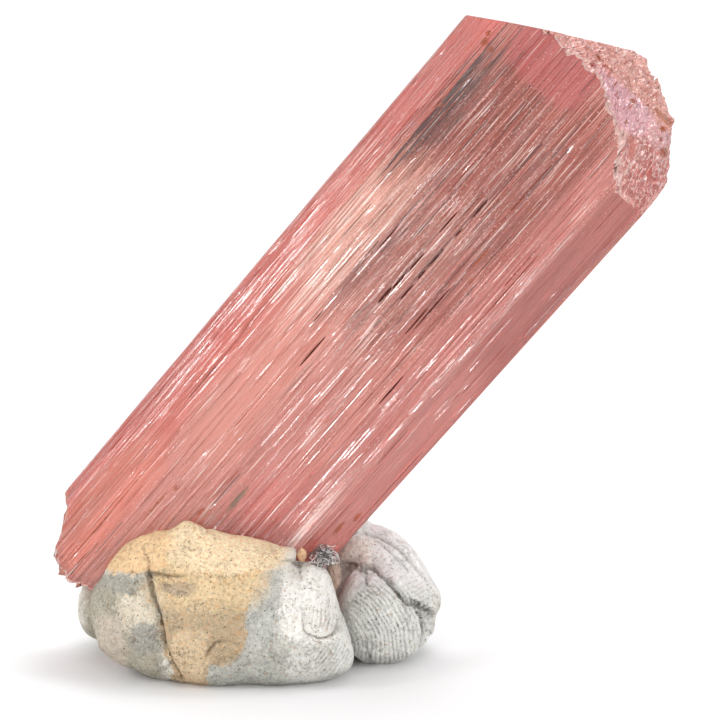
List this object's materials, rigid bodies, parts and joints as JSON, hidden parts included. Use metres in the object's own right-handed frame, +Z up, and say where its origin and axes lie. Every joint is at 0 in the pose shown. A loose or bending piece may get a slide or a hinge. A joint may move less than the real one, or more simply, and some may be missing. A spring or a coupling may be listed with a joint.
{
  "type": "kunzite crystal in mineral tack",
  "caption": "Leaning pink prismatic kunzite crystal with a striated front, a rough tip and foot, held up in squeezed wads of whitish mineral tack.",
  "frame": {"origin": "on the ground, under the middle of the object's box", "axes": "+Z up, +X to the right of the picture, the way the crystal leans, -Y towards the viewer"},
  "size_m": [0.062, 0.028, 0.0648],
  "materials": {
    "kunzite": "striated, translucent",
    "mineral_tack": "matte, hand pressed"
  },
  "bodies": {
    "root": {"kunzite_crystal": "kunzite", "front_tack_wad": "mineral_tack", "back_tack_wad": "mineral_tack"}
  },
  "joints": []
}
